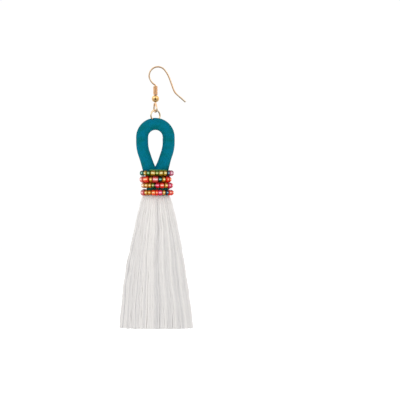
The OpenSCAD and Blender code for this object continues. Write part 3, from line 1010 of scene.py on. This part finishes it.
def skirt_layer(name, count, rings, reach, spread, tuck, seed):
    """One layer of strands, at a share of the skirt's outline that is its reach less up to its spread."""
    rng = np.random.default_rng(seed)
    made = straight_thread(name, 2 * plies, rings, count)
    angle = (even_angles(count, rng.random()) + rng.normal(0, 0.005, count))[:, None]
    cut_off = rng.uniform(0, 1, count)[:, None] * cut_spread
    down = np.linspace(0, 1, rings + 1)[None]
    z = head_z - down * (head_z - foot_z - cut_off)
    wide = np.interp(z, levels, half_wide) + fluff * np.interp(down, *fluff_down)
    deep = np.interp(z, levels, half_deep)
    middle = skirt_x - bow * np.interp(down, *bow_down)
    reach = reach - spread * rng.uniform(0, 1, count)[:, None]
    # One strand in three is in front at the neck, and the others come out between them further down
    behind = (np.arange(count) % 3 / 2 + rng.uniform(0, 0.2, count))[:, None]
    along = z / MM
    # The whole skirt waves together a little, and each strand a little by itself
    wave = sum(
        size * np.sin(2 * np.pi * along / length + crests * angle + start)
        for size, length, crests, start in skirt_waves
    )
    own = rng.uniform(0, 2 * np.pi, (2, count, 1))
    own_length = rng.uniform(*own_lengths, (2, count, 1))
    wave = wave + strand_wave * np.sin(2 * np.pi * along / own_length[0] + own[0])
    lock = (1 - np.cos(locks * angle + 0.5 * np.sin(along / 9))) / 2
    sway = strand_sway * (1 + np.sin(2 * np.pi * along / own_length[1] + own[1])) / 2
    # The heads are held still by the binding
    moving = np.minimum(1, down * 6)
    size = strand_d * (squeezed + swelling * np.minimum(1, down * swelling_pace))
    size = size * rng.uniform(*strand_d_spread, (count, 1))
    inside = size * strand_inset + (lock * lock_depth + sway * MM) * moving
    inside = inside + tuck * MM * behind * (1 - down) ** 1.4
    off_middle = np.hypot(wide * np.sin(angle), deep * np.cos(angle)).clip(1 * MM)
    turned = angle + wave * MM * moving / off_middle
    x = middle + (wide * reach - inside) * np.cos(turned)
    y = (deep * reach - inside) * np.sin(turned)
    centres = np.stack([x, y, z], axis=2)
    forward = np.gradient(centres, axis=1)
    forward /= np.linalg.norm(forward, axis=2, keepdims=True)
    radial = np.stack([np.cos(turned), np.sin(turned), 0 * z], axis=2)
    sideways = np.cross(forward, radial)
    sideways /= np.linalg.norm(sideways, axis=2, keepdims=True)
    radial = np.cross(sideways, forward)
    # Plies twist along the strand
    twist = 2 * np.pi * (skirt_high.z - z) / ply_pitch + own[0]
    wide_axis = np.cos(twist)[..., None] * sideways + np.sin(twist)[..., None] * radial
    thick_axis = np.cos(twist)[..., None] * radial - np.sin(twist)[..., None] * sideways
    # Every second point of a section sinks between two plies
    mesh = made.data
    flat = read_points(mesh)
    copy = np.round(flat[:, 0] / 2)
    corner = np.round(np.arctan2(flat[:, 1], flat[:, 0] - copy * 2) / (np.pi / plies)).astype(int)
    groove = np.where(corner % 2 == 0, 1, between_plies)
    flat[:, 0] = copy * 2 + (flat[:, 0] - copy * 2) * groove
    flat[:, 1] *= groove
    mesh.vertices.foreach_set("co", flat.ravel())
    # The strands are painted paler towards their heads, painted light that lifts the shade under the
    # beads
    head_light_share = painted_head_light * (1 - flat[:, 2] / rings) ** 4
    tones = mesh.attributes.new("strand_tone", "FLOAT", "POINT")
    own_tone = tone_spread * rng.uniform(0, 1, count)[copy.astype(int)]
    tones.data.foreach_set("value", own_tone + head_light_share)
    lay(made, centres, wide_axis * size[..., None], thick_axis * size[..., None])
    return made


white_cotton = cotton()
# Each layer's name, strands, sections, reach and spread as shares of the outline, tuck in mm, and seed
layers = [
    ("skirt_outer", 112, 108, 1, 0, 0.4, 3),
    ("skirt_second", 96, 108, 0.94, 0.03, 0.6, 5),
    ("skirt_third", 96, 54, 0.86, 0.14, 0.6, 7),
    ("skirt_inner", 84, 36, 0.7, 0.24, 0.5, 9),
    ("skirt_heart", 48, 36, 0.44, 0.36, 0.2, 11),
]
for name, count, rings, reach, spread, tuck, seed in layers:
    strands = skirt_layer(name, count, rings, reach, spread, tuck, seed)
    strands.data.materials.append(white_cotton)
    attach(strands, "drop")
    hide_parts("tassel_skirt")


# Studio
# A plain pale floor under a white background, soft light from all round that is brightest behind and
# darker in front and below, two soft lamps, and the camera straight in front of the earring.
frame_side = 160 * MM
lens = 200
view_centre = Vector((17.84, 0, -52.77)) * MM
floor_z = -0.25
floor_r = 8
lamp_d = 0.45
# Each lamp's place in metres and its power in watts
lamps = [("left", (-0.5, -0.45, 0.35), 0.8), ("right", (0.5, -0.4, 0.3), 0.62)]
unlit_room_way = (0, -0.97, -0.24)

bpy.context.scene.view_settings.view_transform = "Standard"
camera = bpy.data.objects.new("camera", bpy.data.cameras.new("camera"))
camera.data.lens = lens
camera.location = view_centre + to_viewer * frame_side * lens / camera.data.sensor_width
camera.rotation_euler = (math.pi / 2, 0, 0)
camera.data.clip_start = 0.01
camera.data.clip_end = 20
bpy.context.scene.collection.objects.link(camera)
bpy.context.scene.camera = camera

bm = bmesh.new()
bmesh.ops.create_circle(bm, segments=64, radius=floor_r, cap_ends=True)
bmesh.ops.translate(bm, verts=bm.verts, vec=(0, 0, floor_z))
paper, _ = surface(
    "white_paper", "#FAFAFA", Roughness=0.9, Emission_Color=linear("#FFFFFF"), Emission_Strength=0.3
)
floor = finished("floor", bm, paper)
floor.visible_glossy = False

world = bpy.data.worlds.new("studio")
bpy.context.scene.world = world
world.use_nodes = True
tree = world.node_tree
tree.nodes.clear()
toward = put(tree, "ShaderNodeTexCoord", {}).outputs["Generated"]
sides = put(tree, "ShaderNodeSeparateXYZ", {"Vector": toward})
overhead = put(tree, "ShaderNodeMapRange", {
    "Value": sides.outputs["Z"], "From Min": -0.6, "From Max": 0.4, "To Min": 0.5, "To Max": 0.95,
})
to_room = put(tree, "ShaderNodeVectorMath", {0: toward, 1: unlit_room_way}, operation="DOT_PRODUCT")
in_front = put(tree, "ShaderNodeMapRange", {
    "Value": to_room.outputs["Value"], "From Min": 0.96, "From Max": 0.82, "To Min": 0.04, "To Max": 1.0,
})
backdrop = put(tree, "ShaderNodeMapRange", {
    "Value": sides.outputs["Y"], "From Min": 0.0, "From Max": 0.5, "To Min": 1.0, "To Max": 1.4,
})
soft = put(
    tree, "ShaderNodeMath", {0: overhead.outputs["Result"], 1: in_front.outputs["Result"]},
    operation="MULTIPLY",
)
soft = put(
    tree, "ShaderNodeMath", {0: soft.outputs["Value"], 1: backdrop.outputs["Result"]},
    operation="MULTIPLY",
)
studio = put(tree, "ShaderNodeBackground", {
    "Color": linear("#FFFFFF"), "Strength": soft.outputs["Value"],
})
white = put(tree, "ShaderNodeBackground", {"Color": linear("#FFFFFF"), "Strength": 1.02})
seen = put(tree, "ShaderNodeLightPath", {}).outputs["Is Camera Ray"]
mixed = put(tree, "ShaderNodeMixShader", {
    0: seen, 1: studio.outputs["Background"], 2: white.outputs["Background"],
})
put(tree, "ShaderNodeOutputWorld", {"Surface": mixed.outputs["Shader"]})

for name, place, power in lamps:
    lamp = bpy.data.lights.new("lamp_" + name, "AREA")
    lamp.shape = "DISK"
    lamp.size = lamp_d
    lamp.energy = power
    lit = bpy.data.objects.new("lamp_" + name, lamp)
    lit.location = place
    lit.rotation_euler = (view_centre - Vector(place)).to_track_quat("-Z", "Y").to_euler()
    bpy.context.scene.collection.objects.link(lit)
